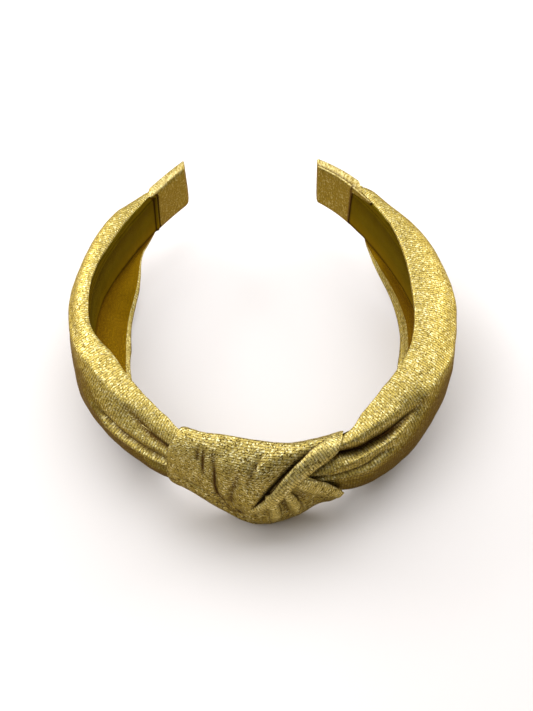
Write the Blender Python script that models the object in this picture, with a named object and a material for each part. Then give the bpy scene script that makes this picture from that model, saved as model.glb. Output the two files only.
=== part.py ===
"""Top knot headband: a stiff covered band under two wide cloth sleeves, knotted at the middle.

It lies on its lower edges, as it does on a table. +Z is up, the knot points to -Y and the two ends
to +Y. Every piece follows one plan curve, the head line, which is the face that touches the hair.
A place is given by s, the distance along the head line from the knot's middle, positive on the
right arm, a, the distance outwards from the head line, and z, the height above the table.
Tables are in millimetres and degrees, and the finished meshes in metres.
"""

import math
from collections import namedtuple

import bmesh
import bpy
import numpy as np

MM = 0.001

# The head line: each arm is a run of arcs from the knot's middle, as length and turn.
Arc = namedtuple("Arc", "length turn")
FRONT_Y = -63.44
MIDDLE_X = -0.16
RIGHT_ARCS = (Arc(121, 109), Arc(24, 8), Arc(23.4, 8.7), Arc(19.3, 18))
LEFT_ARCS = (Arc(132, 114), Arc(16, 6), Arc(21.5, 7.2), Arc(18.5, 6.3))
LEFT_SEAM, RIGHT_SEAM = 169.5, 168.4
# The right arm leans in at its foot, by RIGHT_LEAN from LEAN_FROM on and fully after LEAN_OVER more.
RIGHT_LEAN, LEAN_FROM, LEAN_OVER = 1.6, 40.0, 60.0

# Heights and depths shared by the pieces that lie on each other.
GAP = 0.3
CLOTH = 1.2
THINNEST, NARROWEST, NEARBY = 0.8, 0.7, 1.6
LINING_THICK, LINING_LOW, LINING_HIGH = 1.0, 16.8, 34.2
LINING_KNOT_HIGH, LINING_CORNER = 32.2, 0.3
STRIP_LOW, STRIP_HIGH = 15.0, 35.0
SLEEVE_FACE_LOW, SLEEVE_FACE_HIGH, LEAST_SHOULDER = 14.6, 34.8, 1.0
KNOT_FACE_HIGH, HOLLOW_FACE_HIGH = 34.0, 32.8
BAND_THICK, BAND_LOW, BAND_HIGH = 1.8, 16.8, 33.0
SLEEVE_FACE = LINING_THICK + GAP
BAND_FACE = SLEEVE_FACE + CLOTH + GAP
BAND_CORNER = 0.85
SLEEVE_WRAP = CLOTH + 2.5 * GAP
KNOT_WRAP = SLEEVE_WRAP + 2 * GAP
TAB_FACE, TAB_THICK, TAB_HIGH = 0.2, 5.6, 36.2
LEFT_TAB_LOW, RIGHT_TAB_LOW = 14.0, 15.0
TAB_SKEW = 4.2

# A section runs from the rim, the lower fold, over the crown to the top fold, then down the face.
# Its points are shared out between the outside, the top fold's underside, the face and the flap's.
SQUARENESS = 0.85
FOLD_ROUND = 1.3
FOLD_DEPTH, FOLD_SET_BACK = 3.6, 0.6
OUTSIDE_CORNERS = 25
CLEARING_PASSES = 6
FINE_POINTS, OFFSET_TRUST = 360, 0.985
STRETCH_POINTS, LEAST_STRETCH = (24, 2, 5, 5), 4
TOP_POINT, FACE_HIGH_POINT, FACE_LOW_POINT, SECTION_POINTS = (int(n) for n in np.cumsum(STRETCH_POINTS))
Section = namedtuple("Section", "s crown_a crown_z top_a top_z rim_a rim_z face_a", defaults=(SLEEVE_FACE,))
LEFT_SLEEVE = (
    Section(22, 9.0, 20, 3.6, 36.2, 4.0, 10.6),
    Section(32, 9.0, 20, 1.6, 36.4, 2.8, 9.4),
    Section(38, 8.8, 20, -2.8, 37.4, 0.0, 6.6),
    Section(50, 8.4, 20, -4.6, 38.2, -6.0, 2.6),
    Section(62, 9.2, 20, -5.2, 38.4, -12.0, 0.2),
    Section(76, 9.8, 20, -4.8, 38.2, -14.2, -0.5),
    Section(92, 9.0, 20, -0.6, 37.6, -13.2, -0.6),
    Section(108, 9.8, 21, 0.4, 37.4, -13.0, -0.3),
    Section(124, 11.2, 22, 1.0, 37.4, -10.8, 2.4),
    Section(140, 12.4, 23, 1.8, 37.4, -7.4, 7.2),
    Section(154, 12.0, 24, 2.6, 37.2, -1.0, 11.4),
    Section(162, 9.0, 24, 3.0, 36.8, 1.0, 11.8),
    Section(169.5, 6.8, 24, 3.6, 36.4, 2.8, 12.8),
)
RIGHT_SLEEVE = (
    Section(5, 8.0, 20, 3.6, 34.7, 4.4, 8.6),
    Section(12, 8.8, 20, 3.6, 34.7, 4.0, 8.2),
    Section(24, 10.8, 20, 2.6, 35.0, 3.2, 7.0),
    Section(32, 12.8, 20, 0.6, 35.6, 2.0, 4.6),
    Section(38, 13.2, 20, -2.6, 37.2, -0.5, 3.0),
    Section(50, 13.2, 20, -5.2, 38.6, -4.4, 0.8),
    Section(64, 12.8, 21, -5.4, 38.8, -6.0, 0.0),
    Section(78, 12.6, 22, -5.0, 38.8, -6.4, -0.5),
    Section(92, 12.4, 22, -5.6, 38.8, -7.6, -0.6),
    Section(104, 13.6, 23, -5.6, 38.6, -5.8, -0.3),
    Section(116, 14.2, 24, -4.2, 38.2, -3.0, 1.0),
    Section(130, 15.6, 24, -1.2, 37.8, -1.2, 4.4),
    Section(145, 14.2, 24, 1.4, 37.4, -2.4, 9.4),
    Section(156, 10.8, 24, 2.8, 37.0, 3.0, 14.2),
    Section(163, 9.2, 24, 3.4, 36.6, 3.8, 14.6),
    Section(168.4, 7.6, 24, 3.6, 36.4, 3.8, 14.6),
)
KNOT = (
    Section(-36, 10.6, 20, -1.2, 38.2, 1.4, 6.8, -3.0),
    Section(-26, 10.8, 20, -0.2, 39.0, 2.6, 8.4, -2.2),
    Section(-14, 13.0, 17, -0.6, 40.2, 4.0, 3.0, -1.7),
    Section(-4, 16.3, 15, -0.4, 39.4, 5.5, -0.6, -1.7),
    Section(9, 14.2, 16, 1.4, 38.0, 5.0, 0.6, -1.7),
    Section(17, 12.2, 17, 1.2, 37.0, 4.0, 4.2, -1.5),
    Section(26, 14.2, 18, 1.2, 36.7, 3.0, 2.4, -1.5),
    Section(36, 14.6, 19, 0.0, 37.8, 1.6, 1.2, -2.2),
)
KNOT_HOLLOW = (
    Section(-36, 9.4, 20, 0.2, 37.0, 2.2, 8.2, -1.8),
    Section(-26, 9.5, 20, 2.4, 37.0, 3.0, 9.4, -1.0),
    Section(-18, 9.6, 20, 3.2, 36.6, 3.8, 9.0, -0.6),
    Section(-8, 8.4, 20, 3.4, 35.6, 4.0, 8.8, -0.5),
    Section(6, 9.0, 20, 3.4, 35.8, 4.0, 7.4, -0.5),
    Section(14, 9.8, 20, 3.0, 35.8, 3.6, 6.8, -0.5),
    Section(25, 11.8, 20, 2.0, 35.8, 2.8, 5.8, -0.4),
    Section(36, 14.0, 20, 0.0, 37.0, 1.4, 3.2, -1.2),
)


# Folds run straight between two places. A place round the section is a share of its points, from
# the rim, and SECTION_ROUND turns that share into a length.
SECTION_ROUND = 98.0
Fold = namedtuple("Fold", "s around end_s end_around width height")
LEFT_FOLDS = (
    Fold(68, 0.400, 39, 0.358, 2.8, 1.4),
    Fold(54, 0.422, 39, 0.417, 2.4, -1.1),
    Fold(46, 0.539, 37, 0.520, 2.6, -0.9),
)
RIGHT_FOLDS = (
    Fold(12, 0.500, 52, 0.510, 2.4, -1.8),
    Fold(22, 0.425, 46, 0.439, 3.2, 1.3),
    Fold(14, 0.339, 40, 0.380, 2.4, -1.2),
)
KNOT_FOLDS = (
    Fold(25, 0.639, -2, 0.311, 3.0, 1.9),
    Fold(20, 0.623, -2, 0.352, 2.2, -1.5),
    Fold(-8, 0.562, -7, 0.340, 5.0, 0.9),
    Fold(-18, 0.511, -15, 0.322, 2.2, -1.6),
    Fold(-15, 0.322, -7, 0.242, 2.2, -1.6),
    Fold(-22, 0.524, -19, 0.358, 3.0, 0.7),
    Fold(4, 0.370, 7, 0.231, 2.2, -1.2),
    Fold(8, 0.387, 13, 0.258, 2.2, -1.0),
    Fold(-25, 0.300, -8, 0.190, 2.2, -0.9),
    Fold(-34, 0.360, -25, 0.359, 2.8, 1.0),
    Fold(-32, 0.268, -26, 0.250, 2.6, 0.8),
)


def fold_height(folds, s, around):
    """How far the folds lift the cloth at a place, or sink it."""
    lift = 0.0
    for fold in folds:
        run, rise = fold.end_s - fold.s, (fold.end_around - fold.around) * SECTION_ROUND
        off_s, off_round = s - fold.s, (around - fold.around) * SECTION_ROUND
        t = min(max((off_s * run + off_round * rise) / (run * run + rise * rise), 0), 1)
        off = math.hypot(off_s - t * run, off_round - t * rise) / fold.width
        lift += fold.height * math.exp(-off * off)
    return lift


def blend_rows(rows, s):
    """The section at s, on a smooth curve through the rows."""
    at = [row.s for row in rows]
    i = int(np.clip(np.searchsorted(at, s) - 1, 0, len(rows) - 2))
    span = at[i + 1] - at[i]
    t = float(np.clip((s - at[i]) / span, 0, 1))
    rise = 3 * t * t - 2 * t**3
    start_pull, end_pull = t**3 - 2 * t * t + t, t**3 - t * t
    values = [s]
    for column in range(1, len(rows[0])):
        v = [row[column] for row in rows]
        pull = []
        for k in (i, i + 1):
            lo, hi = max(k - 1, 0), min(k + 1, len(rows) - 1)
            pull.append((v[hi] - v[lo]) / (at[hi] - at[lo]) * span)
        values.append(v[i] + (v[i + 1] - v[i]) * rise + pull[0] * start_pull + pull[1] * end_pull)
    return Section(*values)


def head_line(s):
    """Plan place and heading of the head line at s."""
    side = 1 if s >= 0 else -1
    x, y, heading, left = 0.0, FRONT_Y, 0.0, abs(s)
    for arc in RIGHT_ARCS if side > 0 else LEFT_ARCS:
        step = min(left, arc.length)
        turn = math.radians(arc.turn) * step / arc.length
        chord = step * math.sin(turn / 2) / (turn / 2) if turn else step
        x += chord * math.cos(heading + turn / 2)
        y += chord * math.sin(heading + turn / 2)
        heading += turn
        left -= step
    return side * x + MIDDLE_X, y, heading, side


def place(s, a, z):
    """The point at s along, a outwards and z up, in metres. The right arm leans in at its foot."""
    x, y, heading, side = head_line(s)
    a += RIGHT_LEAN * min(max(s - LEAN_FROM, 0) / LEAN_OVER, 1) * (z / STRIP_HIGH - 1)
    return ((x + side * math.sin(heading) * a) * MM, (y - math.cos(heading) * a) * MM, z * MM)


def even_points(loop, count):
    """Evenly spaced points round a closed loop, from its first point."""
    closed = np.vstack([loop, loop[:1]])
    steps = np.r_[0, np.cumsum(np.linalg.norm(np.diff(closed, axis=0), axis=1))]
    even = np.linspace(0, steps[-1], count, endpoint=False)
    return np.stack([np.interp(even, steps, closed[:, k]) for k in (0, 1)], 1)


def stretch_points(loop, marks):
    """Points round a fine closed loop, shared out between the marks as STRETCH_POINTS says."""
    at = [np.linspace(marks[k], marks[k + 1], count, endpoint=False) for k, count in enumerate(STRETCH_POINTS)]
    at = np.concatenate(at)
    closed = np.vstack([loop, loop[:1]])
    return np.stack([np.interp(at, np.arange(len(closed)), closed[:, k]) for k in (0, 1)], 1)


def clear_of_band(loop, gap, outer_only):
    """The loop with its points pushed out until they clear the band inside it."""
    middle = np.array((BAND_FACE + BAND_THICK / 2, (BAND_LOW + BAND_HIGH) / 2))
    core = np.array((BAND_THICK / 2, (BAND_HIGH - BAND_LOW) / 2)) - BAND_CORNER
    offset = loop - middle
    nearest = np.clip(offset, -core, core)
    away = offset - nearest
    distance = np.linalg.norm(away, axis=1)
    needed = BAND_CORNER + gap
    close = (distance < needed) & (distance > 0)
    if outer_only:
        close &= offset[:, 0] > 0
    pushed = nearest + away * (needed / np.maximum(distance, 1e-6))[:, None]
    return np.where(close[:, None], middle + pushed, loop)


def section_loop(row, face_low, face_high, band_gap):
    """A section's closed loop, from the rim over the crown to the top fold and down the face."""
    corners = []
    for angle in np.radians(np.linspace(-90, 90, OUTSIDE_CORNERS)):
        out, up = math.cos(angle) ** SQUARENESS, abs(math.sin(angle)) ** SQUARENESS
        end_a, end_z = (row.top_a, row.top_z) if angle > 0 else (row.rim_a, row.rim_z)
        corners.append((end_a + (row.crown_a - end_a) * out, row.crown_z + (end_z - row.crown_z) * up))
    top = OUTSIDE_CORNERS - 1
    if row.top_a < row.face_a:
        corners.append((row.top_a + FOLD_SET_BACK, max(face_high + 0.1, row.top_z - FOLD_DEPTH)))
    corners += [(row.face_a, face_high), (row.face_a, face_low), corners[0]]
    steps = np.r_[0, np.cumsum(np.linalg.norm(np.diff(corners, axis=0), axis=1))]
    marks = steps[[0, top, -3, -2, -1]] / steps[-1] * FINE_POINTS

    loop = even_points(np.array(corners[:-1]), FINE_POINTS)
    reach = max(1, round(FOLD_ROUND / steps[-1] * FINE_POINTS))
    for _ in range(2):
        loop = sum(np.roll(loop, k, axis=0) for k in range(-reach, reach + 1)) / (2 * reach + 1)
    loop = clear_of_band(stretch_points(loop, marks), band_gap, True)
    loop[FACE_HIGH_POINT : FACE_LOW_POINT + 1, 0] = row.face_a
    loop[FACE_HIGH_POINT, 1], loop[FACE_LOW_POINT, 1] = face_high, face_low
    loop[:, 1] = np.maximum(loop[:, 1], 0.0)
    return loop


def bar_loop(face, thick, low, high, corner, turns=(10, 45, 80)):
    """A bar's section with softened corners, each a run of points at the turns."""
    loop = []
    inner = [(face + thick - corner, low + corner), (face + thick - corner, high - corner)]
    inner += [(face + corner, high - corner), (face + corner, low + corner)]
    for (a, z), start in zip(inner, (-90, 0, 90, 180)):
        for turn in np.radians(start + np.array(turns)):
            loop.append((a + corner * math.cos(turn), z + corner * math.sin(turn)))
    return loop


def offset_loop(loop, depth):
    """The closed loop moved in by the depth, or out by a negative one, without its crossings."""
    along = np.roll(loop, -1, axis=0) - np.roll(loop, 1, axis=0)
    along /= np.linalg.norm(along, axis=1)[:, None]
    moved = loop + np.stack([-along[:, 1], along[:, 0]], 1) * depth
    nearest = np.linalg.norm(moved[:, None] - loop[None], axis=2).min(axis=1)
    return even_points(moved[nearest > abs(depth) * OFFSET_TRUST], FINE_POINTS)


def hollow_loop(loop):
    """The cloth's inner face, one cloth thickness in. Folds too narrow for a hollow stay solid."""
    fine = even_points(loop, FINE_POINTS)
    hollow = offset_loop(offset_loop(fine, CLOTH + NARROWEST), -NARROWEST)
    hollow = np.roll(hollow, -np.linalg.norm(hollow - loop[0], axis=1).argmin(), axis=0)
    marks = [0]
    for i in (TOP_POINT, FACE_HIGH_POINT, FACE_LOW_POINT):
        marks.append(max(np.linalg.norm(hollow - loop[i], axis=1).argmin(), marks[-1] + LEAST_STRETCH))
    hollow = clear_of_band(stretch_points(hollow, marks + [FINE_POINTS]), GAP, False)
    band = even_points(np.array(bar_loop(BAND_FACE, BAND_THICK, BAND_LOW, BAND_HIGH, BAND_CORNER)), 90)
    for _ in range(CLEARING_PASSES):
        for i in range(len(hollow)):
            for solid, least, inwards in ((fine, THINNEST, 1), (band, GAP, -1)):
                start, side = hollow[i - 1], hollow[i] - hollow[i - 1]
                length = np.linalg.norm(side)
                normal = np.array((-side[1], side[0])) / length * inwards
                share = (solid - start) @ side / length**2
                room = (start - solid) @ normal
                beside = (share > 0) & (share < 1) & (np.abs(room) < NEARBY)
                if beside.any() and room[beside].min() < least:
                    hollow[[i - 1, i]] += normal * (least - room[beside].min())
    return hollow


def loft(name, rings, material, closed_run):
    """A solid through the rings, laid on by a grid. A closed run of rings makes a hollow tube,
    and an open run is a bar with filled ends."""
    mesh = bmesh.new()
    across, rows = len(rings[0]), len(rings)
    steps = rows if closed_run else rows - 1
    bmesh.ops.create_grid(mesh, x_segments=across, y_segments=steps, size=1)
    for vert in mesh.verts:
        i = round((vert.co.x + 1) / 2 * across) % across
        j = round((vert.co.y + 1) / 2 * steps) % rows
        vert.co = rings[j][i]
    bmesh.ops.remove_doubles(mesh, verts=mesh.verts, dist=1e-6)
    if not closed_run:
        bmesh.ops.holes_fill(mesh, edges=[edge for edge in mesh.edges if edge.is_boundary])
    bmesh.ops.triangulate(mesh, faces=mesh.faces)
    bmesh.ops.recalc_face_normals(mesh, faces=mesh.faces)
    data = bpy.data.meshes.new(name)
    mesh.to_mesh(data)
    mesh.free()
    data.materials.append(material)
    data.shade_smooth()
    data.set_sharp_from_angle(angle=math.radians(50))
    piece = bpy.data.objects.new(name, data)
    bpy.context.collection.objects.link(piece)
    return piece


def finish(name, colour, roughness, metallic):
    """A plain material with the piece's colour, roughness and metallic value."""
    material = bpy.data.materials.new(name)
    material.use_nodes = True
    shader = material.node_tree.nodes["Principled BSDF"]
    shader.inputs["Base Color"].default_value = (*colour, 1)
    shader.inputs["Roughness"].default_value = roughness
    shader.inputs["Metallic"].default_value = metallic
    return material


# Sleeves. Stations lie closer near the knot, where the cloth is gathered.
SLEEVE_STATIONS = 25
STATION_CROWDING = 1.35


def sleeve_outer(table, folds, s):
    """The sleeve's outer section at s, with its folds."""
    row = blend_rows(table, s)
    loop = section_loop(row, SLEEVE_FACE_LOW, min(SLEEVE_FACE_HIGH, row.top_z - LEAST_SHOULDER), SLEEVE_WRAP)
    along = np.roll(loop, -1, axis=0) - np.roll(loop, 1, axis=0)
    along /= np.linalg.norm(along, axis=1)[:, None]
    lift = np.array([fold_height(folds, s, i / SECTION_POINTS) for i in range(SECTION_POINTS)])
    return loop + np.stack([along[:, 1], -along[:, 0]], 1) * lift[:, None]


def make_sleeve(name, side, table, folds, material):
    start, seam = table[0].s, table[-1].s
    stations = start + (seam - start) * np.linspace(0, 1, SLEEVE_STATIONS) ** STATION_CROWDING
    outer, hollow = [], []
    for s in stations:
        loop = sleeve_outer(table, folds, s)
        outer.append([place(side * s, a, z) for a, z in loop])
        hollow.append([place(side * s, a, z) for a, z in hollow_loop(loop)])
    return loft(name, outer + hollow[::-1], material, True)


# The band, from tip to tip, thicker at the two bare tabs.
BAND_STATIONS = 36
TAB_EASE, TAB_STEP = 6.0, 0.1


def make_band(material):
    core = bar_loop(BAND_FACE, BAND_THICK, BAND_LOW, BAND_HIGH, BAND_CORNER)
    arms = ((-1, LEFT_ARCS, LEFT_SEAM, LEFT_TAB_LOW), (1, RIGHT_ARCS, RIGHT_SEAM, RIGHT_TAB_LOW))
    rings = []
    for side, arcs, seam, low in arms:
        tip = sum(arc.length for arc in arcs)
        tab = bar_loop(TAB_FACE, TAB_THICK, low, TAB_HIGH, BAND_CORNER)
        stops = [(tip, TAB_SKEW), (tip - TAB_EASE, TAB_SKEW * 0.6), (seam + GAP + TAB_STEP, 0)]
        end = [[place(side * (s + skew * (a - TAB_FACE) / TAB_THICK), a, z) for a, z in tab] for s, skew in stops]
        if side < 0:
            middle = np.linspace(-LEFT_SEAM - GAP, RIGHT_SEAM + GAP, BAND_STATIONS)
            rings += end + [[place(s, a, z) for a, z in core] for s in middle]
        else:
            rings += end[::-1]
    return loft("band", rings, material, False)


# The lining is lower inside the knot.
LINING_RISE = (34.0, 40.0)


def make_lining(material):
    rings = []
    for s in np.linspace(-LEFT_SEAM, RIGHT_SEAM, BAND_STATIONS):
        high = np.interp(abs(s), LINING_RISE, (LINING_KNOT_HIGH, LINING_HIGH))
        loop = bar_loop(0.0, LINING_THICK, LINING_LOW, high, LINING_CORNER, (0, 90))
        rings.append([place(s, a, z) for a, z in loop])
    return loft("lining", rings, material, False)


# The knot: its edges slant, so each is a table of places round the section, from rim to rim.
KNOT_STATIONS = 21
KNOT_EDGE_ROUND, KNOT_EDGE_THIN = 4.0, 0.2
Edge = namedtuple("Edge", "around left right")
KNOT_EDGES = (
    Edge(0.00, -30, 22),
    Edge(0.14, -32, 23),
    Edge(0.24, -33, 24),
    Edge(0.36, -33, 18),
    Edge(0.46, -33, 12),
    Edge(0.52, -33, 19),
    Edge(0.59, -32, 25),
    Edge(0.70, -32, 29),
    Edge(0.86, -31, 27),
    Edge(1.00, -30, 22),
)


def make_knot(material):
    around = np.arange(SECTION_POINTS) / SECTION_POINTS
    left = np.interp(around, [row.around for row in KNOT_EDGES], [row.left for row in KNOT_EDGES])
    right = np.interp(around, [row.around for row in KNOT_EDGES], [row.right for row in KNOT_EDGES])
    outer, hollow = [], []
    for u in np.linspace(0, 1, KNOT_STATIONS):
        out_ring, in_ring = [], []
        for i in range(SECTION_POINTS):
            s = left[i] + (right[i] - left[i]) * u
            skin = section_loop(blend_rows(KNOT, s), STRIP_LOW, KNOT_FACE_HIGH, KNOT_WRAP + CLOTH)[i]
            core = section_loop(blend_rows(KNOT_HOLLOW, s), STRIP_LOW, HOLLOW_FACE_HIGH, KNOT_WRAP)[i]
            inside = min(max(min(s - left[i], right[i] - s) / KNOT_EDGE_ROUND, 0.0), 1.0)
            swell = KNOT_EDGE_THIN + (1 - KNOT_EDGE_THIN) * math.sqrt(1 - (1 - inside) ** 2)
            wall = np.linalg.norm(skin - core)
            thick = max(wall + fold_height(KNOT_FOLDS, s, around[i]), THINNEST)
            out_ring.append(place(s, *(core + (skin - core) * swell * thick / wall)))
            in_ring.append(place(s, *core))
        outer.append(out_ring)
        hollow.append(in_ring)
    return loft("knot", outer + hollow[::-1], material, True)


GOLD_KNIT = ((0.62, 0.43, 0.09), 0.38, 0.85)
GOLD_LINING = ((0.30, 0.22, 0.05), 0.6, 0.5)


def main():
    for old in list(bpy.data.objects):
        bpy.data.objects.remove(old)
    make_band(finish("band_cloth", *GOLD_KNIT))
    make_lining(finish("lining_cloth", *GOLD_LINING))
    make_sleeve("sleeve_left", -1, LEFT_SLEEVE, LEFT_FOLDS, finish("sleeve_left_knit", *GOLD_KNIT))
    make_sleeve("sleeve_right", 1, RIGHT_SLEEVE, RIGHT_FOLDS, finish("sleeve_right_knit", *GOLD_KNIT))
    make_knot(finish("knot_knit", *GOLD_KNIT))


main()
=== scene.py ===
"""Top knot headband, dressed: gold rib knit sleeves and knot over a stiff band with two bare tabs."""

import math
from collections import namedtuple

import bmesh
import bpy
import numpy as np
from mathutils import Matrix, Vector, noise


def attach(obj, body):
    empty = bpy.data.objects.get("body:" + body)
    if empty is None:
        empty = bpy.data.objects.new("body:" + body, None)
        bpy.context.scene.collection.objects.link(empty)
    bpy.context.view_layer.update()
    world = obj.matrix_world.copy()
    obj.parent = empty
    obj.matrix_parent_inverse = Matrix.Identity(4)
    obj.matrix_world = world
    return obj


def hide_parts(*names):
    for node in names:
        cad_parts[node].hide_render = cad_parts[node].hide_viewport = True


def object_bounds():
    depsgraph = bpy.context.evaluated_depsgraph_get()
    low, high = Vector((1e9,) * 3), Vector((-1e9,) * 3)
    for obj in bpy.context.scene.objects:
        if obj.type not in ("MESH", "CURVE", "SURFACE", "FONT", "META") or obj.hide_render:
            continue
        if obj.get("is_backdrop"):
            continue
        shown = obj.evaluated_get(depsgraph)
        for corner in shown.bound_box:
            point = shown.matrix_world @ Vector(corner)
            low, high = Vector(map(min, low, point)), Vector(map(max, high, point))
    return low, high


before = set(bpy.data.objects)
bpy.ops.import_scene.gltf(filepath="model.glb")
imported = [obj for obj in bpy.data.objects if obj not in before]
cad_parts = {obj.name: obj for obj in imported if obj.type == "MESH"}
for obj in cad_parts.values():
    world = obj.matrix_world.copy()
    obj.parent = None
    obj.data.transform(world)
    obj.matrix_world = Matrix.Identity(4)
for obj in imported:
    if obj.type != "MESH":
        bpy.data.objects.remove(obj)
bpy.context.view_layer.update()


# Lining strip. The real one is a strip of smooth gold jersey, turned under at both edges and sewn
# flat to the band's inner face, from tab to tab. It lies along the head line, the plan curve that
# touches the hair: s runs along it from the knot, positive on the right, a outwards and z up, in mm.
MM = 0.001
Arc = namedtuple("Arc", "length turn")
HEAD_FRONT_Y, HEAD_MIDDLE_X = -63.44, -0.16
RIGHT_ARCS = (Arc(121, 109), Arc(24, 8), Arc(23.4, 8.7), Arc(19.3, 18))
LEFT_ARCS = (Arc(132, 114), Arc(16, 6), Arc(21.5, 7.2), Arc(18.5, 6.3))
LEFT_SEAM, RIGHT_SEAM = 169.5, 168.4
RIGHT_LEAN, LEAN_FROM, LEAN_OVER, LEAN_HIGH = 1.6, 40.0, 60.0, 35.0


def head_line(s):
    """Plan place, heading and side of the head line at s."""
    side = 1 if s >= 0 else -1
    x, y, heading, left = 0.0, HEAD_FRONT_Y, 0.0, abs(s)
    for arc in RIGHT_ARCS if side > 0 else LEFT_ARCS:
        step = min(left, arc.length)
        turn = math.radians(arc.turn) * step / arc.length
        chord = step * math.sin(turn / 2) / (turn / 2) if turn else step
        x += chord * math.cos(heading + turn / 2)
        y += chord * math.sin(heading + turn / 2)
        heading += turn
        left -= step
    x, y = x + left * math.cos(heading), y + left * math.sin(heading)
    return side * x + HEAD_MIDDLE_X, y, heading, side


def place(s, a, z):
    """Points at s, for arrays of a and z, in metres. The right arm leans in at its foot."""
    x, y, heading, side = head_line(s)
    a = a + RIGHT_LEAN * min(max(s - LEAN_FROM, 0) / LEAN_OVER, 1) * (z / LEAN_HIGH - 1)
    return np.stack([x + side * math.sin(heading) * a, y - math.cos(heading) * a, z], 1) * MM


def place_one(s, a, z):
    """The same for one point."""
    return place(s, np.array([a]), np.array([z]))[0]


def bell(off, width):
    """A smooth rise to 1 where off is nothing, down to a third at the width."""
    return np.exp(-((off / width) ** 2))


def ripples(s, across, along_scale, across_scale, layer):
    """Smooth noise at s, for the places across the cloth."""
    return np.array([noise.noise(Vector((s * along_scale, u * across_scale, layer))) for u in across])


def lay_cloth(name, rings, tubes, crease_shade_and_seams, turned=False, fill=False, sides=None, shade=None):
    """A cloth surface through the rings of points. Its UV map is in millimetres along and across, and sides
    gives each point round the ring the number of its material. The crease and shade values are kept as
    attributes for painted shade: the first darkens creases and dark seam lines, the second the sides that
    lie in shade."""
    rings, crease_shade_and_seams = np.array(rings), np.array(crease_shade_and_seams)
    rows, across = rings.shape[:2]
    segments = across if tubes else across - 1
    wrapped = np.concatenate([rings, rings[:, :1]], 1) if tubes else rings
    along = np.linalg.norm(np.diff(wrapped, axis=0), axis=2).mean(1)
    along = np.r_[0, np.cumsum(along)] / MM
    around = np.linalg.norm(np.diff(wrapped, axis=1), axis=2).mean(0)
    around = np.r_[0, np.cumsum(around)] / MM
    mesh = bmesh.new()
    bmesh.ops.create_grid(mesh, x_segments=segments, y_segments=rows - 1, size=1)
    cloth_map = mesh.loops.layers.uv.new("cloth")
    crease_shade_layer = mesh.verts.layers.float.new("crease_shade_and_seams")
    side_shade_layer = mesh.verts.layers.float.new("shade")
    spot = {}
    for vert in mesh.verts:
        i = round((vert.co.x + 1) / 2 * segments)
        j = round((vert.co.y + 1) / 2 * (rows - 1))
        spot[vert] = (i, j)
        vert.co = rings[j, i % across]
        vert[crease_shade_layer] = crease_shade_and_seams[j, i % across]
        vert[side_shade_layer] = shade[j][i % across] if shade is not None else 0.0
    for face in mesh.faces:
        for loop in face.loops:
            i, j = spot[loop.vert]
            loop[cloth_map].uv = (around[i], along[j]) if turned else (along[j], around[i])
        if sides is not None:
            face.material_index = int(sides[min(spot[vert][0] for vert in face.verts)])
    bmesh.ops.remove_doubles(mesh, verts=mesh.verts, dist=1e-7)
    if fill:
        bmesh.ops.holes_fill(mesh, edges=[edge for edge in mesh.edges if edge.is_boundary])
    bmesh.ops.recalc_face_normals(mesh, faces=mesh.faces)
    data = bpy.data.meshes.new(name)
    mesh.to_mesh(data)
    mesh.free()
    data.shade_smooth()
    piece = bpy.data.objects.new(name, data)
    bpy.context.scene.collection.objects.link(piece)
    return piece


def linear(code):
    """An sRGB hex colour as linear values, with alpha."""
    parts = [int(code[i : i + 2], 16) / 255 for i in (1, 3, 5)]
    return [c / 12.92 if c <= 0.04045 else ((c + 0.055) / 1.055) ** 2.4 for c in parts] + [1.0]


def add(tree, kind, links=None, **settings):
    """Adds a node with its settings. Each link is a socket to join or a value to set."""
    made = tree.nodes.new("ShaderNode" + kind)
    for key, value in settings.items():
        setattr(made, key, value)
    for key, value in (links or {}).items():
        if isinstance(value, bpy.types.NodeSocket):
            tree.links.new(value, made.inputs[key])
        else:
            made.inputs[key].default_value = value
    return made


def mix(tree, share, first, second):
    """The colour between two by the share of the second. Each is a socket or a hex colour."""
    first, second = (linear(end) if isinstance(end, str) else end for end in (first, second))
    return add(tree, "Mix", {0: share, 6: first, 7: second}, data_type="RGBA").outputs[2]


def ramp(tree, value, start, end, low, high):
    """The value spread from low at the start to high at the end, and held past them."""
    return add(tree, "MapRange", {0: value, 1: start, 2: end, 3: low, 4: high}).outputs[0]


def new_material(name):
    """An empty material with its shader and node tree."""
    made = bpy.data.materials.new(name)
    made.use_nodes = True
    return made, made.node_tree, made.node_tree.nodes["Principled BSDF"]


# Gold lining jersey: metal yarn in a fine smooth knit, matt beside the ribs. It looks olive: partly the
# jersey's own tone and partly painted shade, for its face lies in shadow. Wales of 0.5 mm are drawn at 0.8
# mm so that they show. It is painted warmer low down, a painted reflection of the colour that the inside of
# the sleeve throws back.
BANDS = 0.314  # how far apart a wave texture's bands lie at a scale of 1
lining_jersey, tree, shader = new_material("gold_lining_jersey")
cloth_uv = add(tree, "UVMap", uv_map="cloth").outputs[0]
wales = add(tree, "TexWave", {"Vector": cloth_uv, "Scale": BANDS / 0.8, "Distortion": 1.2, "Detail": 2.0})
grain = add(tree, "TexNoise", {"Vector": cloth_uv, "Scale": 1.6, "Detail": 3.0}).outputs[0]
patches = add(tree, "TexNoise", {"Vector": cloth_uv, "Scale": 0.12, "Detail": 2.0}).outputs[0]
tone = mix(tree, grain, "#5A4A0A", "#84700E")
tone = mix(tree, patches, tone, "#64500A")
height = add(tree, "SeparateXYZ", {0: add(tree, "TexCoord").outputs["Object"]}).outputs["Z"]
tone = mix(tree, ramp(tree, height, 0.015, 0.024, 0.7, 0.0), tone, "#8C6C08")
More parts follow.
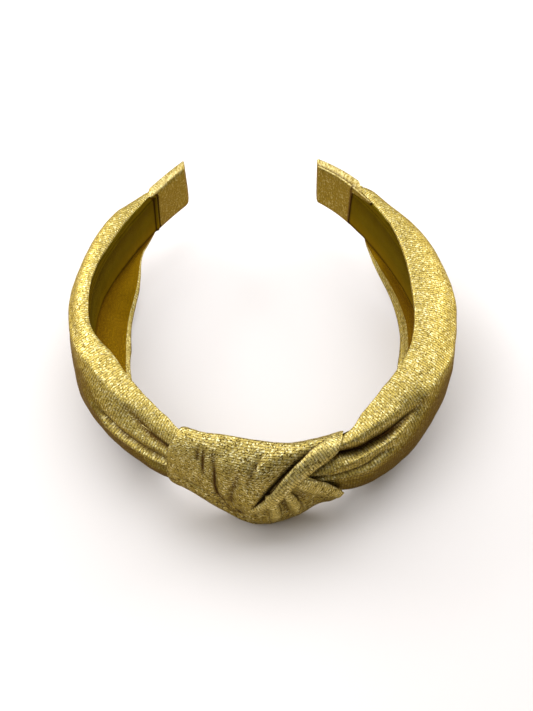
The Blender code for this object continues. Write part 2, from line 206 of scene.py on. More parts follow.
# Painted shade along the strip's edges, with the dark seam lines.
tone = mix(tree, add(tree, "Attribute", attribute_name="crease_shade_and_seams").outputs["Fac"], tone, "#2E1A00")
relief = add(tree, "Math", {0: wales.outputs["Fac"], 1: grain}, operation="ADD").outputs[0]
bump = add(tree, "Bump", {"Height": relief, "Strength": 0.5, "Distance": 0.00006})
tree.links.new(tone, shader.inputs["Base Color"])
tree.links.new(bump.outputs[0], shader.inputs["Normal"])
shader.inputs["Metallic"].default_value = 0.95
shader.inputs["Roughness"].default_value = 0.6
shader.inputs["Specular Tint"].default_value = linear("#6E5810")

# The strip's section, as a and z. Its upper half drops a little under the knot, and the upper edge
# rises to the left seam and falls to the right one. A sewn tuck stands beside the left seam, with a
# dark line on each side of it. The right seam is one dark line.
LINING_FACE = (
    (1.25, 15.6), (0.35, 15.7), (0.0, 16.4), (0.0, 20), (0.0, 25),
    (0.0, 30), (0.0, 33.8), (0.5, 34.7), (2.0, 35.2),
)
LINING_POINTS, LINING_STEP, RIPPLE = 44, 0.25, 0.35
DROP, DROP_ABOVE, DROP_UNTIL = -1.0, 25, (34, 40)
LEFT_RISE, RIGHT_RISE, RISE_ABOVE, RISE_OVER = 0.9, -0.5, 32, 9.0
TUCK_AT, TUCK_DEEP, TUCK_WIDE = 2.1, 0.55, 0.7
LEFT_LINES, LEFT_LINE_WIDE = (3.4, 0.8), 0.45
RIGHT_LINE, RIGHT_LINE_WIDE = 0.3, 0.75
fine = np.linspace(0, len(LINING_FACE) - 1, LINING_POINTS)
face_a = np.interp(fine, range(len(LINING_FACE)), [a for a, z in LINING_FACE])
face_z = np.interp(fine, range(len(LINING_FACE)), [z for a, z in LINING_FACE])
# Painted shade along the strip's lower edge, where it turns under, and along its top, most above 34.2 mm.
edge_shade = np.interp(face_z, (16.2, 18.0, 27.0, 33.0), (0.9, 0.0, 0.0, 0.35)) + 0.4 * (face_z > 34.2)
rings, creases = [], []
for s in np.arange(-LEFT_SEAM, RIGHT_SEAM + 0.1, LINING_STEP):
    lift = ripples(s, face_z, 0.16, 0.045, 4.0)
    to_seam = (RIGHT_SEAM if s > 0 else LEFT_SEAM) - abs(s)
    rise = (LEFT_RISE if s < 0 else RIGHT_RISE) * bell(to_seam, RISE_OVER)
    z = face_z + np.where(face_z > DROP_ABOVE, np.interp(abs(s), DROP_UNTIL, (DROP, 0.0)), 0)
    z = z + np.where(face_z > RISE_ABOVE, rise, 0)
    if s < 0:
        tuck = TUCK_DEEP * bell(to_seam - TUCK_AT, TUCK_WIDE)
        seam_dark = sum(bell(to_seam - line, LEFT_LINE_WIDE) for line in LEFT_LINES)
    else:
        tuck, seam_dark = 0.0, bell(to_seam - RIGHT_LINE, RIGHT_LINE_WIDE)
    rings.append(place(s, face_a + RIPPLE * np.maximum(lift, 0) - tuck, z))
    creases.append(np.clip(edge_shade + seam_dark, 0, 0.95))
lining = lay_cloth("lining_strip", rings, False, creases)
lining.data.materials.append(lining_jersey)
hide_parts("lining")
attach(lining, "root")


# Band and its bare tabs. A stiff core runs from tip to tip, covered in the same gold knit. Only the
# two tabs show, where the sleeves end. Each was cut a little askew and is pressed flatter at its tip.
# Lean sets its end askew over the height, and skew through the thickness. The lower square is, the
# squarer are its edges. Its lower corner at the tip is rounded by low_round.
Tab = namedtuple("Tab", "side tip seam low high tip_high thick lean skew groove square low_round tuck")
TABS = (
    Tab(-1, 187.9, 169.5, 13.8, 36.6, 37.0, 5.2, -0.075, 4.8, 0.0, 0.55, 2.6, 3.0),
    Tab(1, 187.0, 168.4, 15.0, 37.2, 35.3, 4.8, 0.045, 3.4, 0.6, 0.26, 0.6, 11.0),
)
TAB_FACE, TAB_THICK, TAB_MIDDLE, TAB_ROUND, TIP_INSET = 0.2, 5.6, 25, 0.9, 0.525
TAB_POINTS, TAB_ROWS = 120, 60
# The groove's place and width, and the width of the painted shade in it.
GROOVE_AT, GROOVE_WIDE, GROOVE_SHADE_WIDE = 1.5, 0.45, 0.4
SEAM_LINE, SEAM_LINE_WIDE, SEAM_LINE_DEEP = 0.2, 0.5, 1.0
# The covering runs on behind its seam by the tuck, as a lip that thins out inside the sleeve's end.
LIP_OVER, LIP_THINS = 7.0, 0.78
LIP_LOW, LIP_HIGH, LIP_OUT = 0.15, 0.12, 0.1
CORE_HALF, CORE_ROWS = 162, 120


# Gold rib knit: lurex yarn in narrow ribs of small loops. Each loop of flat metal strand catches the
# light in its own way, so the cloth glitters in grains, with dark gaps between the loops and ribs.
# Real ribs are 0.75 mm apart and loops 0.6 mm long, drawn at 1.05 mm and 0.9 mm so that they show.
def gold_rib_knit(name, glitter, ribbing, shade="#80681F", shine="#D6BC62", top_highlight=0.0):
    """Gold rib knit in the tones from shade to shine. Glitter is the share of bright and dull loops, and
    ribbing how dark the gaps are. The last argument is a painted highlight: how much brighter the cloth is
    painted where it faces up."""
    made, tree, shader = new_material(name)
    cloth_uv = add(tree, "UVMap", uv_map="cloth").outputs[0]
    ribs = {"Vector": cloth_uv, "Scale": BANDS / 1.05, "Distortion": 1.8, "Detail": 2.0, "Detail Scale": 2.0}
    ribs = add(tree, "TexWave", ribs).outputs["Fac"]
    rows = {"Vector": cloth_uv, "Scale": BANDS / 0.9, "Distortion": 5.0, "Detail": 2.0, "Detail Scale": 3.0}
    rows = add(tree, "TexWave", rows, bands_direction="Y").outputs["Fac"]
    strands = {"Vector": cloth_uv, "Scale": 2.0, "Detail": 2.0, "Roughness": 0.7}
    strands = add(tree, "TexNoise", strands).outputs[0]
    loops = add(tree, "TexVoronoi", {"Vector": cloth_uv, "Scale": 1.8, "Randomness": 0.8})
    cell = add(tree, "SeparateColor", {0: loops.outputs["Color"]}).outputs
    spots = add(tree, "TexVoronoi", {"Vector": cloth_uv, "Scale": 1.15, "Randomness": 0.8})
    tone = mix(tree, strands, shade, shine)
    tone = mix(tree, ramp(tree, cell[0], 0.7, 1.0, 0.0, 0.8 * glitter), tone, "#FFF0B0")
    tone = mix(tree, ramp(tree, cell[1], 0.72, 0.9, 0.0, 0.9 * glitter), tone, "#54400E")
    gap = ramp(tree, ribs, 0.0, 0.5, ribbing, 0.0)
    for other in (
        ramp(tree, rows, 0.0, 0.4, 0.4 * ribbing, 0.0),
        ramp(tree, spots.outputs["Distance"], 0.14, 0.36, min(1.0, glitter), 0.0),
    ):
        gap = add(tree, "Math", {0: gap, 1: other}, operation="MAXIMUM").outputs[0]
    tone = mix(tree, gap, tone, "#3A2A0B")
    # Painted highlight on the faces that look up.
    if top_highlight:
        facing = add(tree, "SeparateXYZ", {0: add(tree, "TexCoord").outputs["Normal"]}).outputs["Z"]
        painted_top_light = {0: ramp(tree, facing, 0.35, 0.9, 0.0, top_highlight), 1: cell[0]}
        painted_top_light = add(tree, "Math", painted_top_light, operation="MULTIPLY").outputs[0]
        tone = mix(tree, painted_top_light, tone, "#F4DF98")
    # Painted shade on the arms' outer sides, by the shade attribute, darkening them to olive.
    tone = mix(tree, add(tree, "Attribute", attribute_name="shade").outputs["Fac"], tone, "#5C4708")
    # Painted shade in the creases, together with the dark seam and hem lines.
    tone = mix(tree, add(tree, "Attribute", attribute_name="crease_shade_and_seams").outputs["Fac"], tone, "#3E1F02")
    relief = add(tree, "Math", {0: gap, 1: -1.2, 2: strands}, operation="MULTIPLY_ADD").outputs[0]
    bump = add(tree, "Bump", {"Height": relief, "Strength": 0.7, "Distance": 0.00009})
    tree.links.new(tone, shader.inputs["Base Color"])
    tree.links.new(ramp(tree, cell[0], 0.0, 1.0, 0.56, 0.40), shader.inputs["Roughness"])
    tree.links.new(bump.outputs[0], shader.inputs["Normal"])
    shader.inputs["Metallic"].default_value = 0.9
    shader.inputs["Specular Tint"].default_value = linear("#8E7630")
    shader.inputs["Coat Weight"].default_value = 0.04
    shader.inputs["Coat Roughness"].default_value = 0.4
    return made


# The tabs' knit is painted darker than the sleeves', as shade on their upright faces, and gets a painted
# highlight where it faces up.
band_knit = gold_rib_knit("gold_rib_knit_band", 0.25, 0.25, "#604C0C", "#B0923A", top_highlight=0.5)


def tab_section(low, high, face, thick, groove, square=0.24):
    """A tab's section: a rounded oblong with a groove along the top and bottom of its inner face."""
    loop = []
    half_a, half_z = thick / 2, (high - low) / 2
    for turn in np.linspace(0, 1, TAB_POINTS, endpoint=False):
        out, up = math.cos(2 * math.pi * turn), math.sin(2 * math.pi * turn)
        a = half_a * math.copysign(abs(out) ** square, out)
        z = half_z * math.copysign(abs(up) ** (square * 0.55), up)
        loop.append((face + half_a + a, (low + high) / 2 + z))
    loop = np.array(loop)
    on_top = loop[:, 1] > (low + high) / 2
    loop[:, 1] -= np.where(on_top, groove, -0.5 * groove) * bell(loop[:, 0] - face - GROOVE_AT, GROOVE_WIDE)
    return loop


band_rings, band_creases = [], []
for tab in TABS:
    rings, creases = [], []
    for share in np.linspace(0, 1, TAB_ROWS):
        s = tab.seam - tab.tuck + (tab.tip - tab.seam + tab.tuck) * share
        to_tip, tucked = tab.tip - s, max(0.0, tab.seam - s)
        inset = TIP_INSET * (1 - math.sqrt(1 - max(0.0, 1 - to_tip / TAB_ROUND) ** 2))
        thick = TAB_THICK + (tab.thick - TAB_THICK) * share
        thick *= 1 - min(tucked / LIP_OVER, LIP_THINS)
        near_tip = max(0.0, 1 - to_tip / tab.low_round)
        low = tab.low + tab.low_round * (1 - math.sqrt(1 - near_tip**2)) + LIP_LOW * tucked
        high = tab.high + (tab.tip_high - tab.high) * share - LIP_HIGH * tucked
        loop = tab_section(low, high, TAB_FACE + LIP_OUT * tucked, thick, tab.groove, tab.square)
        middle = loop.mean(0)
        loop = middle + (loop - middle) * (1 - inset / np.array([thick / 2, (high - low) / 2]))
        off_face = loop[:, 0] - TAB_FACE
        askew = share * (tab.skew / thick * off_face + tab.lean * (loop[:, 1] - tab.low))
        rings.append([place_one(tab.side * (s + b), a, z) for (a, z), b in zip(loop, askew)])
        # Painted shade in the grooves along the inner face, clear of the middle.
        groove_shade = tab.groove * bell(off_face - GROOVE_AT, GROOVE_SHADE_WIDE)
        groove_shade *= np.abs(loop[:, 1] - TAB_MIDDLE) > 8
        at_seam = bell(s - tab.seam - SEAM_LINE, SEAM_LINE_WIDE) if tab.side > 0 else 0.0
        creases.append(np.clip(groove_shade + at_seam * (off_face < SEAM_LINE_DEEP), 0, 0.9))
    if tab.side < 0:
        rings, creases = rings[::-1], creases[::-1]
    band_rings.append(rings)
    band_creases.append(creases)
core = tab_section(low=17.5, high=32.5, face=3.0, thick=1.4, groove=0.0)
core_rings = [place(s, core[:, 0], core[:, 1]) for s in np.linspace(-CORE_HALF, CORE_HALF, CORE_ROWS)]
rings = band_rings[0] + core_rings + band_rings[1]
creases = band_creases[0] + [np.zeros(TAB_POINTS)] * CORE_ROWS + band_creases[1]
band = lay_cloth("band_and_tabs", rings, True, creases, fill=True)
band.data.materials.append(band_knit)
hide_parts("band")
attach(band, "root")


# Sleeves. Each is one wide piece of gold rib knit folded round the band, with its top fold along
# the band's upper edge and a loose rim below. It goes under the knot and is sewn at the tab.
# A section's points lie in four stretches: outside, top fold, face and flap. SECTION_ROUND is about
# how long the cloth is round it.
SECTION_ROUND, STRETCHES, FINE_POINTS = 98.0, (120, 10, 25, 25), 720
SECTION_POINTS = sum(STRETCHES)
OUTSIDE_CORNERS, SQUARENESS, FOLD_ROUND = 49, 0.85, 1.3
FOLD_DEPTH, FOLD_SET_BACK, LOWEST = 3.6, 0.6, 0.3
Section = namedtuple("Section", "s crown_a crown_z top_a top_z rim_a rim_z face_a", defaults=(1.3,))
LEFT_SLEEVE = (
    Section(22, 9.0, 20, 1.8, 36.4, 4.0, 10.6),
    Section(32, 9.0, 20, 0.1, 37.0, 2.8, 9.4),
    Section(38, 8.8, 20, -2.2, 37.3, 0.0, 6.6),
    Section(50, 8.4, 20, -4.1, 38.1, -6.0, 2.6),
    Section(62, 9.2, 20, -5.0, 38.4, -11.5, 0.2),
    Section(76, 9.8, 20, -4.8, 38.2, -13.5, -0.5),
    Section(92, 9.0, 20, -0.6, 37.6, -13.2, -0.6),
    Section(108, 9.8, 21, 0.4, 37.4, -13.0, -0.3),
    Section(124, 11.2, 22, 1.0, 37.4, -10.8, 2.4),
    Section(140, 12.4, 23, 1.8, 37.4, -7.4, 7.2),
    Section(154, 12.0, 24, 2.6, 37.2, -1.0, 11.4),
    Section(162, 9.0, 24, 3.0, 36.8, 1.0, 11.8),
    Section(169.5, 6.2, 24, 3.4, 36.4, 2.8, 12.8),
)
RIGHT_SLEEVE = (
    Section(5, 8.0, 20, 3.6, 34.7, 4.4, 8.6),
    Section(12, 8.8, 20, 3.6, 34.7, 4.0, 8.2),
    Section(24, 10.8, 20, 2.6, 35.0, 3.2, 7.0),
    Section(32, 12.8, 20, 0.6, 35.6, 2.0, 4.6),
    Section(38, 13.2, 20, -2.0, 37.0, -0.5, 3.0),
    Section(50, 13.2, 20, -4.4, 38.4, -4.4, 0.8),
    Section(64, 12.8, 21, -5.0, 38.7, -6.0, 0.0),
    Section(78, 12.6, 22, -5.0, 38.8, -6.4, -0.5),
    Section(92, 12.4, 22, -5.6, 38.8, -7.6, -0.6),
    Section(104, 13.6, 23, -5.6, 38.6, -5.8, -0.3),
    Section(116, 14.2, 24, -4.2, 38.2, -3.0, 1.0),
    Section(130, 15.6, 24, -1.2, 37.8, -1.2, 4.4),
    Section(145, 14.2, 24, 1.4, 37.4, -1.4, 9.8),
    Section(156, 10.8, 24, 2.8, 37.0, 1.0, 12.2),
    Section(163, 9.2, 24, 3.4, 36.6, 3.8, 14.6),
    Section(168.4, 6.4, 24, 3.4, 36.6, 3.6, 14.4),
)
# Each fold is a line of places, as s and the share round the section from the rim, with its width and its
# height, below nothing for a crease. A crease gets painted shade, as dark as its depth unless dark says how
# much.
# The top fold lies at a share of 0.667, and the face under it runs from 0.722 to 0.861.
Fold = namedtuple("Fold", "width height places dark", defaults=(None,))
FOLD_FADE, RIDGE, VALLEY, FULL_DARK, DARK_WIDE = 0.3, 2.0, 1.3, 2.0, 0.5
LEFT_FOLDS = (
    Fold(2.4, 1.2, ((80, 0.450), (66, 0.418), (55, 0.385), (42, 0.358), (28, 0.346), (14, 0.346))),
    Fold(1.2, 0.9, (
        (72, 0.452), (63, 0.432), (59, 0.416), (54, 0.398), (46, 0.380), (36, 0.363), (22, 0.350),
    )),
    Fold(1.3, -1.8, (
        (66, 0.452), (59, 0.432), (54, 0.414), (50, 0.403), (46, 0.396), (36, 0.380), (28, 0.370),
    )),
    Fold(4.0, -1.8, (
        (56, 0.552), (48, 0.536), (42, 0.507), (36, 0.488), (30, 0.474), (22, 0.465), (14, 0.463),
    )),
    Fold(2.4, 0.9, ((62, 0.475), (44, 0.448), (30, 0.430), (16, 0.424))),
    Fold(1.4, -0.5, ((44, 0.425), (32, 0.408), (18, 0.402))),
    Fold(1.5, 0.8, ((44, 0.285), (33, 0.262), (22, 0.250))),
    Fold(1.3, -0.7, ((50, 0.320), (36, 0.312), (20, 0.300))),
    Fold(2.2, 0.8, ((124, 0.510), (108, 0.520), (93, 0.535), (76, 0.565), (62, 0.572), (46, 0.580))),
)
RIGHT_FOLDS = (
    Fold(3.0, -3.8, (
        (8, 0.475), (15, 0.505), (19, 0.535), (24, 0.551), (29, 0.530),
        (34, 0.510), (40, 0.490), (50, 0.484), (62, 0.488),
    )),
    Fold(3.8, -1.4, ((16, 0.520), (24, 0.556), (30, 0.532), (36, 0.506), (43, 0.488))),
    Fold(3.4, 1.2, ((8, 0.570), (20, 0.615), (28, 0.600), (38, 0.565), (52, 0.545))),
    Fold(1.8, 1.5, (
        (8, 0.435), (20, 0.460), (26, 0.480), (33, 0.478), (38, 0.466), (45, 0.462), (54, 0.466),
    )),
    Fold(1.1, -1.4, (
        (10, 0.364), (16, 0.374), (20, 0.386), (25, 0.392), (30, 0.407), (36, 0.418), (43, 0.422),
    )),
    Fold(1.1, 0.8, (
        (8, 0.342), (15, 0.350), (20, 0.362), (25, 0.368), (29, 0.384), (36, 0.396), (43, 0.402),
    )),
    Fold(1.4, -0.7, ((10, 0.300), (24, 0.320), (36, 0.330))),
    Fold(2.2, 0.8, (
        (124, 0.440), (104, 0.445), (82, 0.458), (71, 0.492), (62, 0.500), (52, 0.474), (44, 0.462),
    )),
)
# Where the painted shade on each arm's outer side begins, as s and a share round the section: below this
# line the side is painted a darker olive, standing for shade.
LEFT_SHADE_LINE = (
    (22, 0.325), (30, 0.336), (36, 0.348), (42, 0.357), (50, 0.371), (54, 0.381), (59, 0.400),
    (61, 0.450), (64, 0.494), (68, 0.522), (74, 0.537), (78, 0.533), (93, 0.515), (124, 0.480),
)
RIGHT_SHADE_LINE = (
    (20, 0.315), (29, 0.345), (35, 0.372), (39, 0.402), (43, 0.430), (47, 0.450), (55, 0.462),
    (58, 0.478), (62, 0.490), (71, 0.482), (82, 0.445), (124, 0.420),
)
# How dark the painted side shade gets, and over how many mm it comes in.
SIDE_SHADE_DARK, SIDE_SHADE_OVER = 0.66, 5.0


def blend_rows(rows, s):
    """The section at s, on a smooth curve through the rows."""
    at = [row.s for row in rows]
    i = int(np.clip(np.searchsorted(at, s) - 1, 0, len(rows) - 2))
    span = at[i + 1] - at[i]
    t = float(np.clip((s - at[i]) / span, 0, 1))
    rise = 3 * t * t - 2 * t**3
    start_pull, end_pull = t**3 - 2 * t * t + t, t**3 - t * t
    values = [s]
    for column in range(1, len(rows[0])):
        v = [row[column] for row in rows]
        pull = []
        for k in (i, i + 1):
            lo, hi = max(k - 1, 0), min(k + 1, len(rows) - 1)
            pull.append((v[hi] - v[lo]) / (at[hi] - at[lo]) * span)
        values.append(v[i] + (v[i + 1] - v[i]) * rise + pull[0] * start_pull + pull[1] * end_pull)
    return Section(*values)


def section_loop(row, face_low, face_high):
    """A section's closed loop, from the rim over the crown to the top fold and down the face."""
    corners = []
    for angle in np.radians(np.linspace(-90, 90, OUTSIDE_CORNERS)):
        out, up = math.cos(angle) ** SQUARENESS, abs(math.sin(angle)) ** SQUARENESS
        end_a, end_z = (row.top_a, row.top_z) if angle > 0 else (row.rim_a, row.rim_z)
        corners.append((end_a + (row.crown_a - end_a) * out, row.crown_z + (end_z - row.crown_z) * up))
    if row.top_a < row.face_a:
        corners.append((row.top_a + FOLD_SET_BACK, max(face_high + 0.1, row.top_z - FOLD_DEPTH)))
    corners += [(row.face_a, face_high), (row.face_a, face_low), corners[0]]
    steps = np.r_[0, np.cumsum(np.linalg.norm(np.diff(corners, axis=0), axis=1))]
    marks = steps[[0, OUTSIDE_CORNERS - 1, -3, -2, -1]] / steps[-1] * FINE_POINTS
    even = np.linspace(0, steps[-1], FINE_POINTS, endpoint=False)
    corners = np.array(corners)
    loop = np.stack([np.interp(even, steps, corners[:, k]) for k in (0, 1)], 1)
    reach = max(1, round(FOLD_ROUND / steps[-1] * FINE_POINTS))
    for _ in range(2):
        loop = sum(np.roll(loop, k, axis=0) for k in range(-reach, reach + 1)) / (2 * reach + 1)
    at = [np.linspace(marks[k], marks[k + 1], n, endpoint=False) for k, n in enumerate(STRETCHES)]
    closed = np.vstack([loop, loop[:1]])
    at, fine = np.concatenate(at), np.arange(len(closed))
    loop = np.stack([np.interp(at, fine, closed[:, k]) for k in (0, 1)], 1)
    loop[:, 1] = np.maximum(loop[:, 1], LOWEST)
    return loop


def fold_lift(folds, s, around):
    """How far the folds lift the cloth at s, for the shares round the section, and how dark the painted
    shade in their creases is.
    """
    lift, deep = np.zeros(len(around)), np.zeros(len(around))
    s = np.broadcast_to(s, around.shape)
    for fold in folds:
        near, spent = np.full(len(around), 1e9), np.zeros(len(around))
        done = 0.0
        for (s0, r0), (s1, r1) in zip(fold.places, fold.places[1:]):
            run, rise = s1 - s0, (r1 - r0) * SECTION_ROUND
            off_s, off_round = s - s0, (around - r0) * SECTION_ROUND
            t = np.clip((off_s * run + off_round * rise) / (run * run + rise * rise), 0, 1)
            away = np.hypot(off_s - t * run, off_round - t * rise)
            spent = np.where(away < near, done + t * math.hypot(run, rise), spent)
            near = np.minimum(near, away)
            done += math.hypot(run, rise)
        from_ends = np.clip(np.minimum(spent, done - spent) / (FOLD_FADE * done), 0, 1)
        shape = np.exp(-((near / fold.width) ** (RIDGE if fold.height > 0 else VALLEY)))
        lift += fold.height * shape * np.sin(from_ends * math.pi / 2)
        if fold.height < 0:
            dark = min(1.0, -fold.height / FULL_DARK) if fold.dark is None else fold.dark
            dark = dark * bell(near, fold.width * DARK_WIDE) * from_ends**0.6
            deep = np.maximum(deep, dark)
    return lift, deep


def move_out(loop, lift):
    """The loop with each point moved outwards by its own lift."""
    along = np.roll(loop, -1, axis=0) - np.roll(loop, 1, axis=0)
    along /= np.linalg.norm(along, axis=1)[:, None]
    return loop + np.stack([along[:, 1], -along[:, 0]], 1) * lift[:, None]


# The knit's wrong side shows inside the loose rim: the backing yarn is a dull orange brown with
# only a little metal coming through.
knit_back, tree, shader = new_material("gold_knit_wrong_side")
cloth_uv = add(tree, "UVMap", uv_map="cloth").outputs[0]
loops = add(tree, "TexWave", {"Vector": cloth_uv, "Scale": BANDS / 0.9, "Distortion": 1.5, "Detail": 2.0})
flecks = add(tree, "TexNoise", {"Vector": cloth_uv, "Scale": 1.8, "Detail": 3.0}).outputs[0]
tone = mix(tree, ramp(tree, flecks, 0.45, 0.75, 0.0, 1.0), "#664904", "#98720A")
# Painted shade in its creases and on the flap just below the strip.
tone = mix(tree, add(tree, "Attribute", attribute_name="crease_shade_and_seams").outputs["Fac"], tone, "#3A2000")
bump = add(tree, "Bump", {"Height": loops.outputs["Fac"], "Strength": 0.5, "Distance": 0.00008})
tree.links.new(tone, shader.inputs["Base Color"])
tree.links.new(bump.outputs[0], shader.inputs["Normal"])
shader.inputs["Metallic"].default_value = 0.9
shader.inputs["Roughness"].default_value = 0.6
shader.inputs["Specular Tint"].default_value = linear("#8A6810")

# Each sleeve's face lies under the strip and has its jersey. Below it the wrong side of the knit
# shows, down to the share hem_from, where the rim's hem turns the right side in.
# Turn holds the line of the painted shade on each arm's outer side.
Sleeve = namedtuple("Sleeve", "node side table folds flat hem_from turn")
SLEEVES = (
    Sleeve("sleeve_left", -1, LEFT_SLEEVE, LEFT_FOLDS, (0.098, 0.150), 0.977, LEFT_SHADE_LINE),
    Sleeve("sleeve_right", 1, RIGHT_SLEEVE, RIGHT_FOLDS, (0.100, 0.165), 0.935, RIGHT_SHADE_LINE),
)
SLEEVE_STEP, CLOTH_THICK, ABOVE_TABLE = 0.75, 0.6, 0.2
LINED_FROM, LINED_TO = 0.690, 0.861
FACE_LOW, FACE_HIGH, FACE_BELOW_TOP = 14.6, 34.8, 1.0
UNEVEN_WIDE, UNEVEN_SMALL, UNEVEN_FROM, UNEVEN_MORE = 0.45, 0.16, (20, 60), (1.6, 1.0)
SMOOTH_AT_SEAM, END_OVER, END_DEEP = 6.0, 0.8, 0.9
# A sewn line runs round the sleeve beside the seam, fainter over the top.
HEM, HEM_DEEP, HEM_WIDE, HEM_DARK, HEM_DARK_WIDE = 1.6, 0.45, 0.45, 0.9, 0.4
HEM_FAINT, HEM_FAINT_AT, HEM_FAINT_WIDE = 0.8, 0.63, 0.08
# The loose flap folds in along a crease below the strip, sharply up to 100 mm and less at the tab. Painted
# shade lies along that crease and on the flap just below the strip.
FLAP_FROM, FLAP_CREASE, FLAP_CREASE_WIDE, FLAP_CREASE_SHADE = (100, 150), (1.2, 0.71), 1.3, (2.5, 1.24)
FLAP_SHADE, FLAP_SHADE_WIDE, RIM_ROLL, RIM_WIDE = 0.7, 4.5, 0.7, 1.7


def sleeve_loop(table, s):
    """A sleeve's smooth loop at s, before its folds."""
    row = blend_rows(table, s)
    return section_loop(row, FACE_LOW, min(FACE_HIGH, row.top_z - FACE_BELOW_TOP))


def thicken(knit):
    """Gives a sheet of knit its real thickness, inwards."""
    cloth = knit.modifiers.new("cloth_thickness", "SOLIDIFY")
    cloth.thickness, cloth.offset = CLOTH_THICK * MM, -1


around = np.arange(SECTION_POINTS) / SECTION_POINTS
from_flap = (around - LINED_TO) * SECTION_ROUND
from_rim = np.minimum(around, 1 - around) * SECTION_ROUND
flap_shade = FLAP_SHADE * bell(from_flap, FLAP_SHADE_WIDE) * (from_flap > 0)
hem_dark = HEM_DARK * (1 - HEM_FAINT * bell(around - HEM_FAINT_AT, HEM_FAINT_WIDE))
for sleeve in SLEEVES:
    sides = np.select([around <= LINED_FROM, around < LINED_TO, around < sleeve.hem_from], [0, 1, 2], 0)
    start, seam = sleeve.table[0].s, sleeve.table[-1].s
    shade_line_s, shade_line_around = zip(*sleeve.turn)
    rings, creases, shades = [], [], []
    for s in np.linspace(start, seam, round((seam - start) / SLEEVE_STEP)):
        to_seam = seam - s
        at_end = max(0.0, 1 - to_seam / END_OVER)
        lift, deep = fold_lift(sleeve.folds, s, around)
        uneven = UNEVEN_WIDE * ripples(s, around, 0.045, 9.0, 7.0 + sleeve.side)
        uneven += UNEVEN_SMALL * ripples(s, around, 0.20, 22.0, 2.0 + sleeve.side)
        lift = lift + uneven * np.interp(s, UNEVEN_FROM, UNEVEN_MORE)
        lift = lift * min(to_seam / SMOOTH_AT_SEAM, 1.0)
        lift = lift - HEM_DEEP * bell(to_seam - HEM, HEM_WIDE)
        lift = lift - np.interp(s, FLAP_FROM, FLAP_CREASE) * bell(from_flap, FLAP_CREASE_WIDE)
        lift = lift + RIM_ROLL * bell(from_rim, RIM_WIDE) - END_DEEP * at_end
        # Painted shade along the flap's crease and on the flap below the strip, kept with the dark hem line
        # and seam end.
        flap_crease_shade = bell(from_flap, np.interp(s, FLAP_FROM, FLAP_CREASE_SHADE))
        for dark in (hem_dark * bell(to_seam - HEM, HEM_DARK_WIDE), flap_crease_shade, flap_shade, at_end):
            deep = np.maximum(deep, dark)
        creases.append(deep)
        # Painted shade: below its shade line the outer side is darkened to olive.
        below_shade_line = (np.interp(s, shade_line_s, shade_line_around) - around) * SECTION_ROUND
        shades.append(SIDE_SHADE_DARK * np.clip(below_shade_line / SIDE_SHADE_OVER, 0, 1))
        loop = move_out(sleeve_loop(sleeve.table, s), lift)
        rings.append(place(sleeve.side * s, loop[:, 0], np.maximum(loop[:, 1], ABOVE_TABLE)))
    knit = lay_cloth(sleeve.node + "_knit", rings, True, creases, sides=sides, shade=shades)
    for finish in (gold_rib_knit("gold_rib_" + sleeve.node, 0.7, 0.6), lining_jersey, knit_back):
        knit.data.materials.append(finish)
    thicken(knit)
    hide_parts(sleeve.node)
    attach(knit, "root")


# Knot. The two sleeve ends cross and wrap over each other in front, pulled tight at one pinch low
# in the middle. All its folds run out from there, and the last turn lies across the top as a roll.
KNOT = (
    Section(-36, 10.6, 20, -1.2, 38.2, 1.4, 6.8, -3.0),
    Section(-26, 10.8, 20, -0.2, 39.0, 2.6, 8.4, -2.2),
    Section(-14, 13.0, 17, -0.6, 40.2, 4.0, 3.0, -1.7),
    Section(-4, 16.3, 15, -0.4, 39.4, 5.5, -0.6, -1.7),
    Section(9, 14.2, 16, 1.4, 38.0, 5.0, 0.6, -1.7),
    Section(17, 12.2, 17, 1.2, 37.0, 4.0, 4.2, -1.5),
    Section(26, 14.2, 18, 1.6, 35.9, 3.0, 2.4, -1.5),
    Section(36, 14.6, 19, 0.6, 36.8, 1.6, 1.2, -2.2),
)
KNOT_UNDER = (
    Section(-36, 9.4, 20, 0.2, 37.0, 2.2, 8.2, -1.8),
    Section(-26, 9.5, 20, 2.4, 37.0, 3.0, 9.4, -1.0),
    Section(-18, 9.6, 20, 3.2, 36.6, 3.8, 9.0, -0.6),
    Section(-8, 8.4, 20, 3.4, 35.6, 4.0, 8.8, -0.5),
    Section(6, 9.0, 20, 3.4, 35.8, 4.0, 7.4, -0.5),
    Section(14, 9.8, 20, 3.0, 35.8, 3.6, 6.8, -0.5),
    Section(25, 11.8, 20, 2.0, 35.8, 2.8, 5.8, -0.4),
    Section(36, 14.0, 20, 0.0, 37.0, 1.4, 3.2, -1.2),
)
